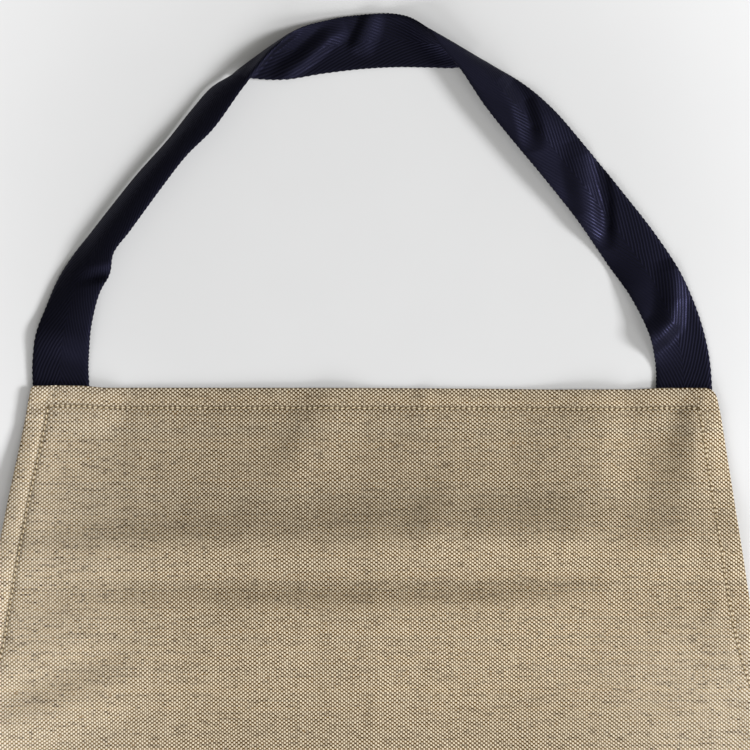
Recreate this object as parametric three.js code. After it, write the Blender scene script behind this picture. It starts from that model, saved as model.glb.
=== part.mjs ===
// A linen apron laid flat: one cut panel with turned hems, a neck strap of tape and two waist ties.
// Millimetres, +Z up, the surface it lies on at z = 0. Drawn with the bib's top edge on y = 0 and the
// loop of the strap above it, then moved so that the middle of the whole apron is at the origin.
import * as THREE from "three";

// Cloth and tape
const CLOTH_THICK = 1.0;
const TAPE_WIDTH = 25;
const TAPE_THICK = 1.0;
const TOUCH_GAP = 0.3;

// Outline of the panel: y falls from the top edge to the bottom hem
const BIB_TOP_HALF = 152.4;
const BIB_CORNER_CUT = 1.2;
const BIB_FLARE = 0.18;
const BIB_STRAIGHT = 105;
const WAIST_HALF = 335;
const WAIST_DOWN = 290;
const SKIRT_HALF = 345;
const APRON_LENGTH = 850;
const ARMHOLE_LEAVES = 80;
const ARMHOLE_ARRIVES = new THREE.Vector2(74, -48);

// Turned hems
const HEM_SIDE = 10.5;
const HEM_TOP = 10;
const HEM_BOTTOM = 16;
const HEM_EASE = 0.7;
const HEM_SLOPE = 13;
const WAIST_CORNER_SLANT = 1.25;

// How far the tape's ends go under the panel, and how far the cloth takes to settle beside them
const NECK_TUCK = 10;
const TIE_TUCK = 15;
const TUCK_MARGIN = 2.2;
const TUCK_SETTLE = 15;

// Waist ties: out from the waist, one flat fold, then down beside the skirt
const TIE_OUT = 45;
const TIE_LENGTH = 700;
const TIE_FOLD_RADIUS = 1.1;
const TIE_FOLD_STEPS = 4;
const TIE_BEFORE_FOLD = 8;

// Rows below the top edge and columns inside the side edge that follow the hems
const TOP_ROWS = [3, HEM_TOP - HEM_EASE, HEM_TOP + HEM_EASE, 16, 23];
const EDGE_COLUMNS = [0, 4, HEM_SIDE - HEM_EASE, HEM_SIDE + HEM_EASE, 17.5, 27.5, 38];

// Mesh steps
const BIB_ROWS = 16;
const ARMHOLE_ROWS = 15;
const SKIRT_ROWS = 14;
const INNER_COLUMNS = 10;
const STRAP_STEPS = 3;
const STRAP_ACROSS = 4;
const TIE_STEPS = 2;
const TIE_ACROSS = 2;

const LINEN = { color: 0xa99878, roughness: 0.95, metalness: 0 };
const NAVY = { color: 0x1b1c2a, roughness: 0.85, metalness: 0 };

// Soft folds of the laid cloth: the points of the ridge as x, y and height, and how far the fold reaches
// on the left and right side as one walks along it. Folds that meet add up.
const FOLDS = [
  { name: "broad swell", left: 74, right: 140, ridge: [[-185, -80, 6], [0, -80, 10.5], [185, -82, 7]] },
  {
    name: "upper ridge", left: 26, right: 17,
    ridge: [[-130, -70, 0], [-60, -68, 3.2], [-10, -67.5, 3.8], [57, -66, 6.6], [90, -67, 7.4],
      [124, -71, 5.2], [152, -71, 3.6], [185, -72, 1.5]],
  },
  {
    name: "left wedge", left: 13, right: 17,
    ridge: [[-172, -78, 0.6], [-144, -74, 2], [-110, -69, 2.6], [-60, -68, 1.8], [-20, -67.5, 0]],
  },
  {
    name: "lower ridge", left: 13, right: 45,
    ridge: [[-160, -98, 0], [-110, -98, 2.6], [-60, -98, 4.4], [-10, -98.5, 5.4], [60, -97, 5.2],
      [90, -95, 2.8], [120, -94, 0]],
  },
  {
    name: "left slant", left: 18, right: 18,
    ridge: [[-200, -164, 3.6], [-166, -151.5, 3.8], [-120, -135, 2.8], [-95, -126, 0]],
  },
  {
    name: "left swell", left: 36, right: 16,
    ridge: [[-200, -142, 2], [-166, -126.6, 2.4], [-126, -107, 1.6], [-105, -98, 0]],
  },
  {
    name: "right rise", left: 20, right: 22,
    ridge: [[146, 0, 1.6], [146, -15, 3.8], [143, -40, 3.6], [138, -65, 3.2], [136, -85, 0]],
  },
  {
    name: "right swell", left: 20, right: 42,
    ridge: [[101, 0, 1], [100, -20, 2.6], [99, -50, 1], [99, -64, 0]],
  },
  {
    name: "hem slant", left: 20, right: 14,
    ridge: [[-18, 0, 1], [-22, -10, 1.6], [-36, -33, 1.6], [-44, -46, 0]],
  },
  { name: "middle swell", left: 34, right: 90, ridge: [[-24, 0, 1], [-26, -25, 2.6], [-28, -55, 0]] },
  {
    name: "left step", left: 50, right: 14,
    ridge: [[-100, 0, 0.4], [-101, -20, 1], [-102, -50, 0.8], [-103, -62, 0]],
  },
  {
    name: "left edge", left: 50, right: 30,
    ridge: [[-160, 0, 2], [-165, -20, 2.6], [-171, -50, 2.8], [-180, -95, 2.8], [-193, -150, 2.2],
      [-208, -190, 0]],
  },
  {
    name: "left curl", left: 12, right: 8,
    ridge: [[-153, -4, 0.8], [-156, -20, 1.8], [-162, -50, 1.8], [-170, -95, 1.4], [-180, -140, 0]],
  },
  { name: "skirt left", left: 55, right: 70, ridge: [[-160, -330, 0], [-148, -420, 5], [-120, -860, 5]] },
  { name: "skirt middle", left: 70, right: 60, ridge: [[55, -280, 0], [60, -360, 4], [95, -860, 4]] },
  { name: "skirt right", left: 60, right: 45, ridge: [[230, -400, 0], [235, -470, 4], [250, -860, 4]] },
];

// Neck strap, a row for each crosswise section from the left end to the right end: where its outer
// and its inner selvedge lie, and how far the tape bows out between them. The legs lean inwards on
// their outer selvedge and turn over at the top.
const STRAP_SECTIONS = [
  { outer: [-151.6, -NECK_TUCK, 2.4], inner: [-126.4, -NECK_TUCK, 1.4], bow: 0 },
  { outer: [-151.6, 0, 2.3], inner: [-126.4, 0, 1.3], bow: 0 },
  { outer: [-151.9, 10, 1.6], inner: [-126.8, 9, 1.4], bow: 0 },
  { outer: [-150.3, 24, 3], inner: [-126.4, 17, 4.2], bow: 0.8 },
  { outer: [-145.8, 36, 2.6], inner: [-125.3, 28, 6.5], bow: 1.6 },
  { outer: [-140.4, 48.5, 1.7], inner: [-121.6, 42.3, 8.5], bow: 2 },
  { outer: [-133.5, 59.5, 1.2], inner: [-117, 51.2, 9.6], bow: 2.2 },
  { outer: [-126.8, 68, 1], inner: [-115.2, 60.4, 10.2], bow: 2.4 },
  { outer: [-118.8, 78.3, 1], inner: [-107, 68.8, 10.2], bow: 2.6 },
  { outer: [-104.8, 95.8, 1], inner: [-93.7, 86.3, 10.2], bow: 2.6 },
  { outer: [-91.6, 110.6, 1], inner: [-81.7, 102.3, 10.4], bow: 2.6 },
  { outer: [-79, 124.2, 1.2], inner: [-70.7, 115.4, 10.6], bow: 2.2 },
  { outer: [-69.3, 133.8, 1.6], inner: [-57.8, 133.8, 10.2], bow: 1.6 },
  { outer: [-64.8, 138, 2.2], inner: [-46.4, 147.8, 8.8], bow: 0.8 },
  { outer: [-61.5, 140.2, 2.8], inner: [-36.3, 158.3, 7], bow: 0.5 },
  { outer: [-55, 138.5, 2.4], inner: [-29.3, 161.8, 5.6], bow: 0.8 },
  { outer: [-40, 137.7, 1.8], inner: [-21, 164, 4.4], bow: 1 },
  { outer: [-22, 140.5, 1.4], inner: [-13.5, 165.7, 3.4], bow: 1.2 },
  { outer: [-4, 142.6, 1.2], inner: [-4, 166.7, 2.8], bow: 1.3 },
  { outer: [12, 143.4, 1.2], inner: [8, 167.3, 3], bow: 1.3 },
  { outer: [25, 143.2, 1.3], inner: [15.5, 165.8, 4.8], bow: 1 },
  { outer: [37.6, 143.1, 1.8], inner: [20.8, 162.9, 7.4], bow: 0.8 },
  { outer: [43.6, 145.2, 2.4], inner: [23.2, 161, 9.4], bow: 0.5 },
  { outer: [46.4, 147, 2.8], inner: [25, 159.6, 10.2], bow: 0.5 },
  { outer: [50.4, 145.5, 2.2], inner: [30.6, 152.3, 9.8], bow: 0.8 },
  { outer: [56.8, 142, 1.8], inner: [39.5, 141.5, 9], bow: 1.2 },
  { outer: [67, 136, 1.6], inner: [49.5, 126.5, 8.4], bow: 1.2 },
  { outer: [80.5, 124.5, 1.5], inner: [61, 112, 8], bow: 1 },
  { outer: [96, 106.6, 1.5], inner: [76.5, 93.5, 7.4], bow: 0.6 },
  { outer: [111.5, 87.6, 1.5], inner: [91.5, 74.5, 4.2], bow: 0.6 },
  { outer: [126.2, 68.7, 1.3], inner: [105, 55, 1.4], bow: 0.6 },
  { outer: [137.2, 51.8, 1.1], inner: [115.2, 40.4, 4.4], bow: 0.6 },
  { outer: [145.4, 33, 0.9], inner: [123.2, 23.8, 6.2], bow: 0.5 },
  { outer: [150, 15, 0.8], inner: [126.2, 10, 2.4], bow: 0.2 },
  { outer: [151.4, 0, 1.2], inner: [126.4, 0, 1.2], bow: 0 },
  { outer: [151.4, -NECK_TUCK, 1.2], inner: [126.4, -NECK_TUCK, 1.2], bow: 0 },
];

// How a tie wanders on its way down: share of the way, shift away from the skirt, lift off the surface
const TIE_DRIFT = [
  { share: 0.08, shift: 0, lift: 2.1 },
  { share: 0.14, shift: 0.5, lift: 0.4 },
  { share: 0.3, shift: 3, lift: 0 },
  { share: 0.45, shift: 5, lift: 1.6 },
  { share: 0.6, shift: 4, lift: 0 },
  { share: 0.8, shift: -1, lift: 0 },
  { share: 0.9, shift: -3, lift: 1.2 },
  { share: 1, shift: -5, lift: 0 },
];

// Where an end of the neck strap lies under the panel, and how high at its left and right
function neckTuck({ outer, inner }) {
  const [left, right] = outer[0] < inner[0] ? [outer, inner] : [inner, outer];
  return { left: left[0], right: right[0], low: -NECK_TUCK, high: 0, leftZ: left[2], rightZ: right[2] };
}

// Where a waist tie lies under the side hem
function tieTuck(left) {
  const flat = TAPE_THICK / 2;
  const low = -WAIST_DOWN - TAPE_WIDTH;
  return { left, right: left + TIE_TUCK, low, high: -WAIST_DOWN, leftZ: flat, rightZ: flat };
}

const TUCKS = [
  neckTuck(STRAP_SECTIONS[0]),
  neckTuck(STRAP_SECTIONS.at(-1)),
  tieTuck(-WAIST_HALF),
  tieTuck(WAIST_HALF - TIE_TUCK),
];

const smooth = (t) => THREE.MathUtils.smoothstep(t, 0, 1);
const lerp = THREE.MathUtils.lerp;

// A closed thin solid from rows of cells, each with a front and a back point
function sheetSolid(rows) {
  const across = rows[0].length;
  const lastRow = rows.length - 1;
  const positions = [];
  for (const side of ["front", "back"]) {
    for (const row of rows) {
      for (const cell of row) positions.push(cell[side].x, cell[side].y, cell[side].z);
    }
  }
  const front = (r, c) => r * across + c;
  const back = (r, c) => (rows.length + r) * across + c;
  const index = [];
  const quad = (a, b, c, d) => index.push(a, b, c, a, c, d);
  for (let r = 0; r < lastRow; r++) {
    for (let c = 0; c < across - 1; c++) {
      quad(front(r, c), front(r + 1, c), front(r + 1, c + 1), front(r, c + 1));
      quad(back(r, c), back(r, c + 1), back(r + 1, c + 1), back(r + 1, c));
    }
    quad(front(r + 1, 0), front(r, 0), back(r, 0), back(r + 1, 0));
    quad(front(r, across - 1), front(r + 1, across - 1), back(r + 1, across - 1), back(r, across - 1));
  }
  for (let c = 0; c < across - 1; c++) {
    quad(front(0, c), front(0, c + 1), back(0, c + 1), back(0, c));
    quad(front(lastRow, c + 1), front(lastRow, c), back(lastRow, c), back(lastRow, c + 1));
  }
  const geometry = new THREE.BufferGeometry();
  geometry.setAttribute("position", new THREE.Float32BufferAttribute(positions, 3));
  geometry.setIndex(index);
  geometry.computeVertexNormals();
  return geometry;
}

// The panel's rows from the top edge down: y, half width, and how much wider a slanted edge makes the hem
function panelRows() {
  const rows = [];
  const bibHalf = (y) => BIB_TOP_HALF - BIB_FLARE * y;
  const bibSlant = Math.hypot(1, BIB_FLARE);
  rows.push({ y: 0, half: BIB_TOP_HALF - BIB_CORNER_CUT, slant: bibSlant });
  for (const down of TOP_ROWS) {
    rows.push({ y: -down, half: bibHalf(-down), slant: bibSlant });
  }
  for (let k = 1; k <= BIB_ROWS; k++) {
    const y = lerp(-TOP_ROWS.at(-1), -BIB_STRAIGHT, k / BIB_ROWS);
    rows.push({ y, half: bibHalf(y), slant: bibSlant });
  }
  const leave = new THREE.Vector2(bibHalf(-BIB_STRAIGHT), -BIB_STRAIGHT);
  const arrive = new THREE.Vector2(WAIST_HALF, -WAIST_DOWN);
  const armhole = new THREE.CubicBezierCurve(
    leave,
    leave.clone().add(new THREE.Vector2(BIB_FLARE * ARMHOLE_LEAVES, -ARMHOLE_LEAVES)),
    arrive.clone().sub(ARMHOLE_ARRIVES),
    arrive,
  );
  for (let k = 1; k < ARMHOLE_ROWS; k++) {
    const point = armhole.getPoint(k / ARMHOLE_ROWS);
    const along = armhole.getTangent(k / ARMHOLE_ROWS);
    rows.push({ y: point.y, half: point.x, slant: 1 / Math.abs(along.y) });
  }
  rows.push({ y: -WAIST_DOWN, half: WAIST_HALF, slant: WAIST_CORNER_SLANT });
  const skirtHalf = (y) => lerp(WAIST_HALF, SKIRT_HALF, (-WAIST_DOWN - y) / (APRON_LENGTH - WAIST_DOWN));
  const tieFoot = -WAIST_DOWN - TAPE_WIDTH - TUCK_MARGIN;
  const hemHead = HEM_BOTTOM - APRON_LENGTH;
  for (let k = 0; k < SKIRT_ROWS; k++) {
    const y = lerp(tieFoot, hemHead + HEM_SLOPE, k / (SKIRT_ROWS - 1));
    rows.push({ y, half: skirtHalf(y), slant: 1 });
  }
  for (const y of [hemHead + HEM_EASE, hemHead - HEM_EASE, -APRON_LENGTH]) {
    rows.push({ y, half: skirtHalf(y), slant: 1 });
  }
  return rows;
}

// Height of one fold: each point is measured from the nearest stretch of the ridge
function foldHeight(x, y, { ridge, left, right }) {
  let nearest = Infinity;
  let height = 0;
  for (let k = 1; k < ridge.length; k++) {
    const [fromX, fromY, fromHigh] = ridge[k - 1];
    const [toX, toY, toHigh] = ridge[k];
    const length = Math.hypot(toX - fromX, toY - fromY);
    const runX = (toX - fromX) / length;
    const runY = (toY - fromY) / length;
    const along = THREE.MathUtils.clamp((x - fromX) * runX + (y - fromY) * runY, 0, length);
    const offX = x - fromX - along * runX;
    const offY = y - fromY - along * runY;
    const away = Math.hypot(offX, offY);
    if (away >= nearest) continue;
    nearest = away;
    const reach = offY * runX - offX * runY > 0 ? left : right;
    height = lerp(fromHigh, toHigh, along / length) * smooth(1 - away / reach);
  }
  return height;
}

// Height of the cloth's underside over the surface: folds, and the rise over each tucked tape end
function clothLift(x, y) {
  let lift = 0;
  for (const fold of FOLDS) lift += foldHeight(x, y, fold);
  for (const tuck of TUCKS) {
    const dx = Math.max(tuck.left - x, x - tuck.right, 0);
    const dy = Math.max(tuck.low - y, y - tuck.high, 0);
    const clear = Math.max(0, Math.hypot(dx, dy) - TUCK_MARGIN);
    const share = THREE.MathUtils.clamp((x - tuck.left) / (tuck.right - tuck.left), 0, 1);
    const tapeTop = lerp(tuck.leftZ, tuck.rightZ, share) + TAPE_THICK / 2;
    lift = Math.max(lift, (tapeTop + TOUCH_GAP) * (1 - smooth(clear / TUCK_SETTLE)));
  }
  return lift;
}

// The panel: two layers in the hem, one layer inside it that slopes down from the hem's inner edge
function panelGeometry() {
  const inner = EDGE_COLUMNS.at(-1);
  const cells = panelRows().map(({ y, half, slant }) => {
    const columns = EDGE_COLUMNS.map((inset) => ({ inset, x: half - inset * slant }));
    const start = half - inner * slant;
    for (let k = 1; k <= INNER_COLUMNS; k++) {
      columns.push({ inset: inner + k, x: start * (1 - k / INNER_COLUMNS) });
    }
    const leftToRight = [
      ...columns.map(({ inset, x }) => ({ inset, x: -x })),
      ...columns.slice(0, -1).reverse(),
    ];
    return leftToRight.map(({ inset, x }) => {
      const deep = Math.min(inset - HEM_SIDE, -y - HEM_TOP, y + APRON_LENGTH - HEM_BOTTOM);
      const low = clothLift(x, y);
      const rise = deep < 0 ? 0 : CLOTH_THICK * (1 - smooth(deep / HEM_SLOPE));
      const layers = deep < 0 ? 2 : 1;
      return {
        back: new THREE.Vector3(x, y, low + rise),
        front: new THREE.Vector3(x, y, low + rise + layers * CLOTH_THICK),
      };
    });
  });
  return sheetSolid(cells);
}

// Upright directions of a grid of points, from the way along it and the way over it
function gridNormals(grid) {
  const lastRow = grid.length - 1;
  const lastColumn = grid[0].length - 1;
  return grid.map((row, r) => row.map((_, c) => {
    const along = grid[Math.min(r + 1, lastRow)][c].clone().sub(grid[Math.max(r - 1, 0)][c]);
    const over = row[Math.min(c + 1, lastColumn)].clone().sub(row[Math.max(c - 1, 0)]);
    return along.cross(over).normalize();
  }));
}

// A tape through its sections: the two selvedges are smooth curves, and the tape bows between them
function tapeGeometry(sections, steps, across) {
  const curve = (edge) => {
    const points = sections.map((section) => new THREE.Vector3(...section[edge]));
    return new THREE.CatmullRomCurve3(points, false, "centripetal");
  };
  const outer = curve("outer");
  const inner = curve("inner");
  const count = (sections.length - 1) * steps;
  const middle = [];
  for (let r = 0; r <= count; r++) {
    const a = outer.getPoint(r / count);
    const b = inner.getPoint(r / count);
    const row = [];
    for (let c = 0; c <= across; c++) row.push(a.clone().lerp(b, c / across));
    middle.push(row);
  }
  const down = gridNormals(middle);
  for (let r = 0; r <= count; r++) {
    const before = Math.min(Math.floor(r / steps), sections.length - 2);
    const bow = lerp(sections[before].bow, sections[before + 1].bow, r / steps - before);
    for (let c = 0; c <= across; c++) {
      const arch = 1 - (2 * c / across - 1) ** 2;
      middle[r][c].addScaledVector(down[r][c], -bow * arch);
      middle[r][c].z = Math.max(middle[r][c].z, TAPE_THICK / 2);
    }
  }
  const normals = gridNormals(middle);
  const cells = middle.map((row, r) => row.map((point, c) => {
    const half = normals[r][c].clone().multiplyScalar(TAPE_THICK / 2);
    return { front: point.clone().add(half), back: point.clone().sub(half) };
  }));
  return sheetSolid(cells);
}

// One waist tie: out from under the side hem, folded over itself at 45 degrees, then down the side
function tieSections(side) {
  const flat = TAPE_THICK / 2;
  const top = -WAIST_DOWN;
  const bottom = top - TAPE_WIDTH;
  const near = WAIST_HALF + TIE_OUT - TAPE_WIDTH;
  const far = near + TAPE_WIDTH;
  const sections = [];
  for (const x of [WAIST_HALF - TIE_TUCK, WAIST_HALF, near - TIE_BEFORE_FOLD]) {
    sections.push({ outer: [side * x, top, flat], inner: [side * x, bottom, flat], bow: 0 });
  }
  for (let k = 0; k <= TIE_FOLD_STEPS; k++) {
    const turn = (k / TIE_FOLD_STEPS) * Math.PI;
    const out = TIE_FOLD_RADIUS * Math.sin(turn) * Math.SQRT1_2;
    const z = flat + TIE_FOLD_RADIUS * (1 - Math.cos(turn));
    sections.push({
      outer: [side * (near + out), top + out, z],
      inner: [side * (far + out), bottom + out, z],
      bow: 0,
    });
  }
  const down = TIE_LENGTH - TIE_OUT - TIE_TUCK;
  for (const { share, shift, lift } of TIE_DRIFT) {
    const y = top - down * share;
    sections.push({
      outer: [side * (near + shift), y, flat + lift],
      inner: [side * (far + shift), y, flat + lift],
      bow: 0,
    });
  }
  return sections;
}

const group = new THREE.Group();
group.name = "apron";

function add(name, geometry, look) {
  const mesh = new THREE.Mesh(geometry, new THREE.MeshStandardMaterial(look));
  mesh.name = name;
  group.add(mesh);
}

add("apron_panel", panelGeometry(), LINEN);
add("neck_strap", tapeGeometry(STRAP_SECTIONS, STRAP_STEPS, STRAP_ACROSS), NAVY);
add("waist_tie_left", tapeGeometry(tieSections(-1), TIE_STEPS, TIE_ACROSS), NAVY);
add("waist_tie_right", tapeGeometry(tieSections(1), TIE_STEPS, TIE_ACROSS), NAVY);

// The middle of the whole apron goes to the origin, its underside stays on z = 0
const box = new THREE.Box3().setFromObject(group);
group.position.set(-(box.min.x + box.max.x) / 2, -(box.min.y + box.max.y) / 2, 0);

export default group;
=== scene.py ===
# %% [markdown]
# A linen bib apron, laid on a pale table and seen from straight above. The apron is one cut panel of
# plain-woven linen with turned and stitched hems, a neck strap of navy herringbone tape that lies in a
# loop above the bib, and two waist ties of the same tape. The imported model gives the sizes, and every
# piece below is drawn over its own solid in metres, so nothing has to be scaled afterwards.

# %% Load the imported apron
import bpy
import math
import numpy as np
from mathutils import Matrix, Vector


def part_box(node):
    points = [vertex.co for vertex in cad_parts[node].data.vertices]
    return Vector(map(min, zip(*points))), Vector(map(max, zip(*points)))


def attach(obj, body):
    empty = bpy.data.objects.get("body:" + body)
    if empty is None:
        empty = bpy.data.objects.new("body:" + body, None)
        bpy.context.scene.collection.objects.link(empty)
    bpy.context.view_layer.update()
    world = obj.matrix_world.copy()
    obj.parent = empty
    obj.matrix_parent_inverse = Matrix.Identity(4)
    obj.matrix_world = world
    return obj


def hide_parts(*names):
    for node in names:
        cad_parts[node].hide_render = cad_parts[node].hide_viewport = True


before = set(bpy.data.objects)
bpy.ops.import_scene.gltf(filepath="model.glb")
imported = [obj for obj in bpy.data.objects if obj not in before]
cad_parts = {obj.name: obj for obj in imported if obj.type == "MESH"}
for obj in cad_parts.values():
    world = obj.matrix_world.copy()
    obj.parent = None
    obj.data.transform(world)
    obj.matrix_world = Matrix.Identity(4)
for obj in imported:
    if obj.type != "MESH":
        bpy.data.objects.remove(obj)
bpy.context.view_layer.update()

MM = 0.001
TOP_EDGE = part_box("apron_panel")[1].y
print("packed nodes:", sorted(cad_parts), "top edge of the bib at y =", round(TOP_EDGE, 4))

# %% [markdown]
# The camera comes first, because every later choice is judged through it. The apron is looked at from
# straight above. A long lens, far away, keeps the raised strap from spreading towards the edges of the
# picture; a short lens close by would give the same framing with a strap that looks too wide.

# %% Camera straight above the bib
PICTURE_WIDTH = 334.8 * MM
PICTURE_MIDDLE = (1.0 * MM, TOP_EDGE + 6.0 * MM)
CAMERA_HEIGHT = 3.0

camera = bpy.data.objects.new("camera", bpy.data.cameras.new("camera"))
bpy.context.collection.objects.link(camera)
camera.location = (*PICTURE_MIDDLE, CAMERA_HEIGHT)
camera.data.lens = camera.data.sensor_width * CAMERA_HEIGHT / PICTURE_WIDTH
camera.data.clip_end = 1000
bpy.context.scene.camera = camera
print("lens in mm:", round(camera.data.lens, 1))

# %% [markdown]
# Soft goods need soft light, but not light from everywhere: the folds of a cloth that lies flat only
# show where one side is brighter. A large lamp stands low on the right, a second one stands low in
# front of the skirt, a weaker one stands between the two, and a pale, slightly warm sky lifts the
# shadows. Over a real table the camera and its stand darken what a shiny thread mirrors from above,
# so the sky is left out of reflections. The lamps are hidden from the camera, so that they never show
# in a low view. The standard view transform keeps colours as they are measured.

# %% Lamps, sky and view
LAMP_AIM = (0.0, TOP_EDGE - 0.02, 0.0)
SKY_COLOUR = (1.0, 0.98, 0.92, 1)
SKY_STRENGTH = 0.31


def soft_lamp(name, bearing, height_angle, distance, width, power):
    """A square lamp that looks at the bib: bearing in degrees from +X, then degrees above the floor."""
    lamp = bpy.data.objects.new(name, bpy.data.lights.new(name, "AREA"))
    bpy.context.collection.objects.link(lamp)
    turn, lift = math.radians(bearing), math.radians(height_angle)
    away = np.array([math.cos(turn) * math.cos(lift), math.sin(turn) * math.cos(lift), math.sin(lift)])
    lamp.location = np.array(LAMP_AIM) + distance * away
    lamp.rotation_euler = (math.pi / 2 - lift, 0, turn + math.pi / 2)
    lamp.data.size = width
    lamp.data.energy = power
    lamp.visible_camera = False
    return lamp


soft_lamp("key_lamp", bearing=0, height_angle=33, distance=5.2, width=1.3, power=228)
soft_lamp("front_lamp", bearing=-101, height_angle=28, distance=4.4, width=2.4, power=90)
soft_lamp("corner_lamp", bearing=-45, height_angle=35, distance=3.0, width=1.0, power=17)

sky = bpy.data.worlds.new("pale_sky")
sky.use_nodes = True
sky_light = sky.node_tree.nodes["Background"]
sky_light.inputs["Color"].default_value = SKY_COLOUR
sky_light.inputs["Strength"].default_value = SKY_STRENGTH
sky.cycles_visibility.glossy = False
bpy.context.scene.world = sky
bpy.context.scene.view_settings.view_transform = "Standard"

# %% [markdown]
# Node trees get long when every socket is wired by hand. A few small helpers keep the finishes
# readable: one sets or wires a node's inputs, one puts a node in a tree, one does arithmetic, one
# mixes two colours, one turns a value into a soft mask and one samples a noise. Two more start and
# use a node group, which is a finish that several materials can share.

# %% Helpers for finishes
def feed(tree, inputs, values):
    """Sets each named input to a plain value, or wires it to the socket that feeds it."""
    for name, value in values.items():
        if isinstance(value, bpy.types.NodeSocket):
            tree.links.new(value, inputs[name])
        else:
            inputs[name].default_value = value


def put(tree, kind, inputs=None, **settings):
    """One node: settings are its options, inputs are plain values or the sockets that feed it."""
    made = tree.nodes.new(kind)
    for name, value in settings.items():
        setattr(made, name, value)
    feed(tree, made.inputs, inputs or {})
    return made


def calc(tree, operation, *values):
    return put(tree, "ShaderNodeMath", dict(enumerate(values)), operation=operation).outputs[0]


def mix_colour(tree, share, first, second, blend="MIX"):
    made = put(tree, "ShaderNodeMix", {0: share, 6: first, 7: second}, data_type="RGBA", blend_type=blend)
    return made.outputs[2]


def soft_mask(tree, value, low, high):
    sockets = {"Value": value, "From Min": low, "From Max": high}
    return put(tree, "ShaderNodeMapRange", sockets, interpolation_type="SMOOTHSTEP").outputs[0]


def noise(tree, place, scale, detail=2.0):
    sockets = {"Vector": place, "Scale": scale, "Detail": detail}
    return put(tree, "ShaderNodeTexNoise", sockets).outputs[0]


def new_group(name, inputs, outputs):
    """An empty node group with named sockets: gives the tree, its inputs and its output node."""
    tree = bpy.data.node_groups.new(name, "ShaderNodeTree")
    for label, kind in inputs.items():
        tree.interface.new_socket(label, in_out="INPUT", socket_type="NodeSocket" + kind)
    for label, kind in outputs.items():
        tree.interface.new_socket(label, in_out="OUTPUT", socket_type="NodeSocket" + kind)
    return tree, tree.nodes.new("NodeGroupInput").outputs, tree.nodes.new("NodeGroupOutput").inputs


def use_group(tree, group, inputs):
    made = tree.nodes.new("ShaderNodeGroup")
    made.node_tree = group
    feed(tree, made.inputs, inputs)
    return made.outputs


def new_material(name):
    material = bpy.data.materials.new(name)
    material.use_nodes = True
    tree = material.node_tree
    return material, tree, tree.nodes["Principled BSDF"]


print("helpers ready")

# %% [markdown]
# Spun yarn is never even: each yarn in a cloth is a little lighter or darker than the next, and each
# one drifts along its own length. Both the linen and the tape need this, so it is a node group. It
# takes the yarn's number and the place along it, and gives a shade from 0 to 1.

# %% Uneven yarn, shared by both cloths
YARN_DRIFT = 24 * MM
YARN_APART = 3.7
OWN_SHARE = 0.45

yarn_group, yarn_in, yarn_out = new_group(
    "uneven_yarn",
    {"Yarn number": "Float", "Along": "Float"},
    {"Shade": "Float"},
)
own_noise = {"W": yarn_in["Yarn number"]}
own_shade = put(yarn_group, "ShaderNodeTexWhiteNoise", own_noise, noise_dimensions="1D")
drift_place = put(yarn_group, "ShaderNodeCombineXYZ", {
    "X": calc(yarn_group, "DIVIDE", yarn_in["Along"], YARN_DRIFT),
    "Y": calc(yarn_group, "MULTIPLY", yarn_in["Yarn number"], YARN_APART),
})
drift = noise(yarn_group, drift_place.outputs[0], 1.0)
yarn_shade = calc(yarn_group, "ADD", calc(yarn_group, "MULTIPLY", own_shade.outputs[0], OWN_SHARE),
                  calc(yarn_group, "MULTIPLY", drift, 1 - OWN_SHARE))
feed(yarn_group, yarn_out, {"Shade": yarn_shade})
print("group:", yarn_group.name)

# %% [markdown]
# The linen is a plain weave: every yarn passes over one and under the next, so the face is a
# chequerboard of little crowns. The upright yarns are bleached cream and the cross yarns are natural
# brown flax, which is what makes the cloth look peppered. Two diagonal waves added together give that
# chequerboard, and letting their strengths vary from place to place gives the short diagonal streaks
# that real cloth shows where the yarns lean. Flax is also full of slubs, thick dark lengths of
# cross yarn that show as short brown dashes.

# %% Plain weave as a node group
WARP_PITCH = 1.02 * MM
WEFT_PITCH = 0.83 * MM
WANDER_SIZE = 14 * MM
WANDER_YARNS = 1.6

weave_outputs = ["Warp up", "Warp shade", "Weft shade", "Slub", "Height"]
weave_group, weave_in, weave_out = new_group(
    "plain_weave", {"Cut place": "Vector"}, dict.fromkeys(weave_outputs, "Float"),
)


def weave_counts(tree, place):
    """Yarn counts across and along the cloth, with a slight wander."""
    wander = put(tree, "ShaderNodeTexNoise", {"Vector": place, "Scale": 1 / WANDER_SIZE, "Detail": 3.0})
    wander_xyz = put(tree, "ShaderNodeSeparateXYZ", {0: wander.outputs[1]})
    place_xyz = put(tree, "ShaderNodeSeparateXYZ", {0: place})
    counts = []
    for axis, pitch in ((0, WARP_PITCH), (1, WEFT_PITCH)):
        straight = calc(tree, "DIVIDE", place_xyz.outputs[axis], pitch)
        off_middle = calc(tree, "SUBTRACT", wander_xyz.outputs[axis], 0.5)
        shift = calc(tree, "MULTIPLY", off_middle, WANDER_YARNS)
        counts.append(calc(tree, "ADD", straight, shift))
    return counts, place_xyz


(warp_count, weft_count), cut_xyz = weave_counts(weave_group, weave_in["Cut place"])


def diagonal_wave(operation):
    phase = calc(weave_group, operation, warp_count, weft_count)
    return calc(weave_group, "COSINE", calc(weave_group, "MULTIPLY", phase, math.pi))


per_centimetre = [round(10 * MM / pitch, 1) for pitch in (WARP_PITCH, WEFT_PITCH)]
print("yarns per 10 mm, across and along:", *per_centimetre)

# %% Crowns of the weave
LEAN_ACROSS = -0.8
PATCH_SIZE = 11 * MM
FIRM_SIZE = 5 * MM

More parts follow.
